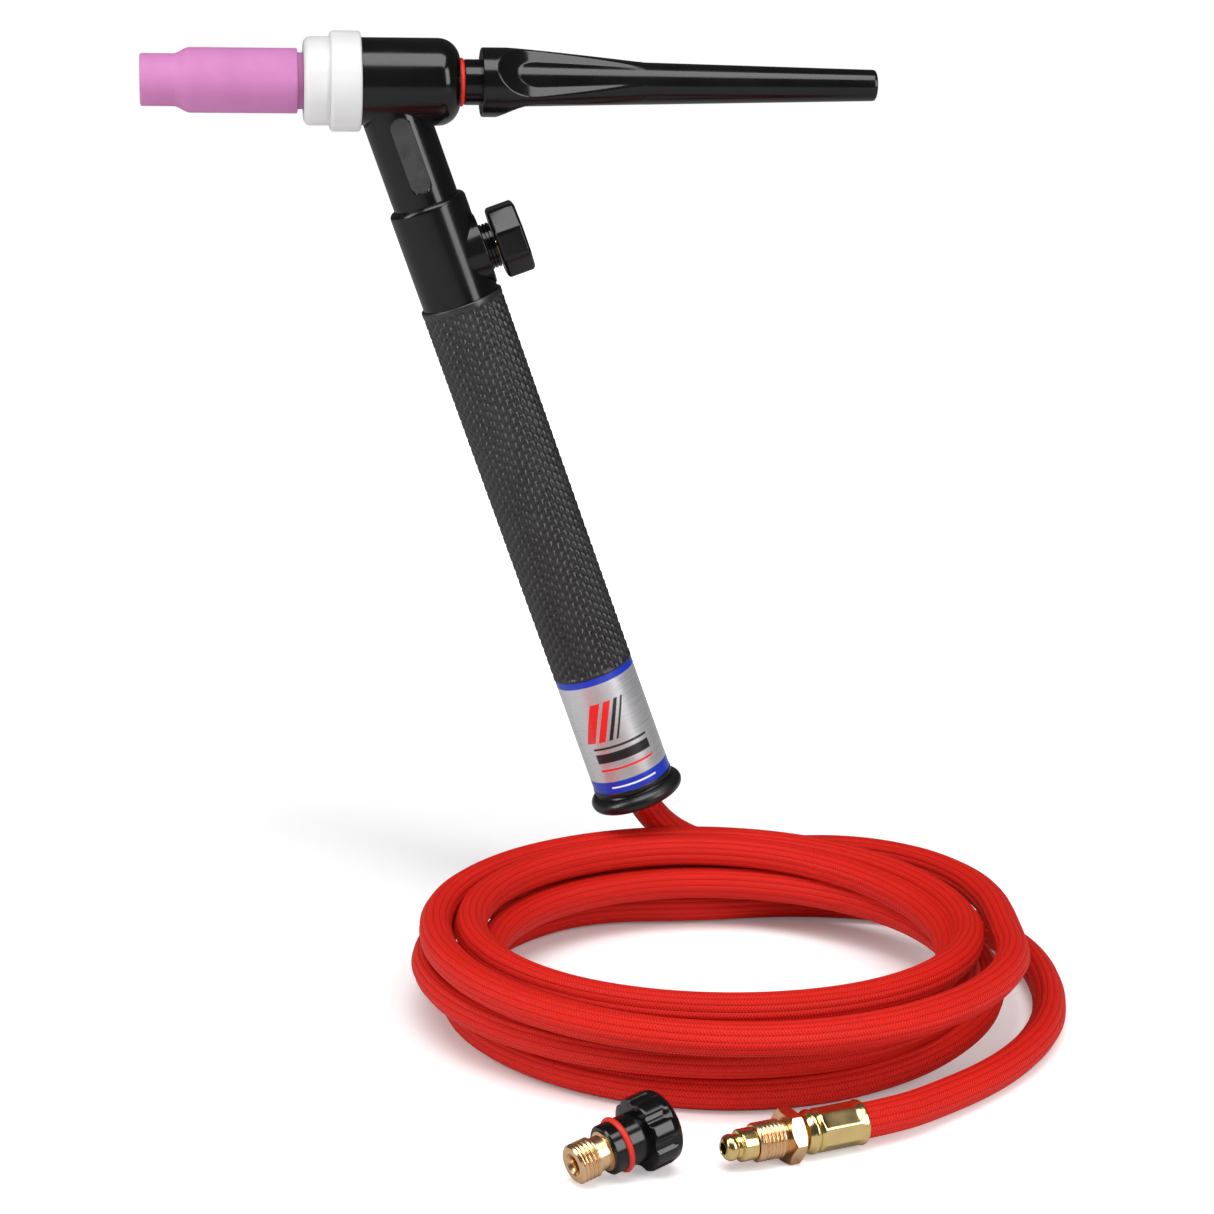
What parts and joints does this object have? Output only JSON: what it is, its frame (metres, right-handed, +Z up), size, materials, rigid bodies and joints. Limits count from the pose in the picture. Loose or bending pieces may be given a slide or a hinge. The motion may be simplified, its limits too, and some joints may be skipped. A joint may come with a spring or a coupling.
{
  "type": "tig torch",
  "caption": "Gas-cooled TIG welding torch with ceramic cup, long back cap, gas valve knob, knurled grip, braided hose coil, brass fitting and spare back cap.",
  "frame": {"origin": "middle of the knurled grip, on the handle's axis", "axes": "+X along the head from the gas cup to the long back cap, +Z up, the handle's axis in the XZ plane and 20 degrees from vertical"},
  "size_m": [0.2469, 0.2022, 0.2535],
  "materials": {
    "pink_alumina": "matte fired alumina, pink",
    "white_ptfe": "smooth white fluoropolymer",
    "gloss_black": "glossy black phenolic moulding",
    "grip_black": "satin black, knurled",
    "black_rubber": "semi-gloss black rubber",
    "red_silicone": "red silicone rubber",
    "brass": "bright turned brass",
    "copper": "bare copper",
    "tungsten": "ground tungsten",
    "steel": "plated steel",
    "label_foil": "brushed silver foil with blue bands",
    "red_braid": "woven red nylon braid"
  },
  "bodies": {
    "root": {"cup_gasket": "white_ptfe", "torch_body": "brass", "neck_tube": "brass", "head_cover": "gloss_black", "collet_body": "copper", "collet": "copper", "valve_body": "gloss_black", "valve_block": "brass", "valve_retainer": "gloss_black", "handle_sleeve": "grip_black", "label_band": "label_foil", "handle_boot": "black_rubber", "cable_connector": "brass", "cable_crimp": "brass", "handle_hose": "black_rubber", "power_core": "copper", "hose_lead": "red_braid", "hose_coil": "red_braid", "hose_tail": "red_braid", "hose_ferrule": "brass", "fitting_nipple": "brass"},
    "nozzle": {"nozzle": "pink_alumina"},
    "electrode": {"electrode": "tungsten"},
    "cap_seal": {"cap_o_ring": "red_silicone"},
    "back_cap": {"cap_shell": "gloss_black", "cap_ferrule": "brass"},
    "valve_seal": {"valve_o_ring": "black_rubber"},
    "valve_knob": {"valve_knob": "gloss_black", "valve_spindle": "brass", "knob_screw": "steel"},
    "fitting_nut": {"fitting_nut": "brass"},
    "spare_cap": {"spare_cap_shell": "gloss_black", "spare_cap_o_ring": "red_silicone", "spare_cap_ferrule": "brass"}
  },
  "joints": [
    {"name": "nozzle_slide", "type": "slide", "parent": "root", "child": "nozzle", "axis": [-1, 0, 0], "range_m": [0, 0.048]},
    {"name": "electrode_slide", "type": "slide", "parent": "root", "child": "electrode", "axis": [-1, 0, 0], "range_m": [0, 0.02]},
    {"name": "back_cap_travel", "type": "slide", "parent": "root", "child": "cap_seal", "axis": [1, 0, 0], "range_m": [0, 0.006]},
    {"name": "back_cap_turn", "type": "hinge", "parent": "cap_seal", "child": "back_cap", "pos_m": [-0.04079, 0, 0.11206], "axis": [1, 0, 0], "range_deg": [0, 2070]},
    {"name": "valve_travel", "type": "slide", "parent": "root", "child": "valve_seal", "axis": [0.9397, 0, 0.342], "range_m": [0, 0.0012]},
    {"name": "valve_turn", "type": "hinge", "parent": "valve_seal", "child": "valve_knob", "pos_m": [-0.02293, 0, 0.06301], "axis": [0.9397, 0, 0.342], "range_deg": [0, 540]},
    {"name": "nut_swivel", "type": "hinge", "parent": "root", "child": "fitting_nut", "pos_m": [0.0645, -0.1665, -0.122], "axis": [-0.94, -0.3411, 0], "continuous": true},
    {"name": "spare_cap_lift", "type": "slide", "parent": "root", "child": "spare_cap", "axis": [0, 0, 1], "range_m": [0, 0.1]}
  ],
  "couplings": [
    {"joint": "back_cap_travel", "follows": "back_cap_turn", "m_per_rad": 0.00015915},
    {"joint": "valve_travel", "follows": "valve_turn", "m_per_rad": 0.00011937}
  ]
}
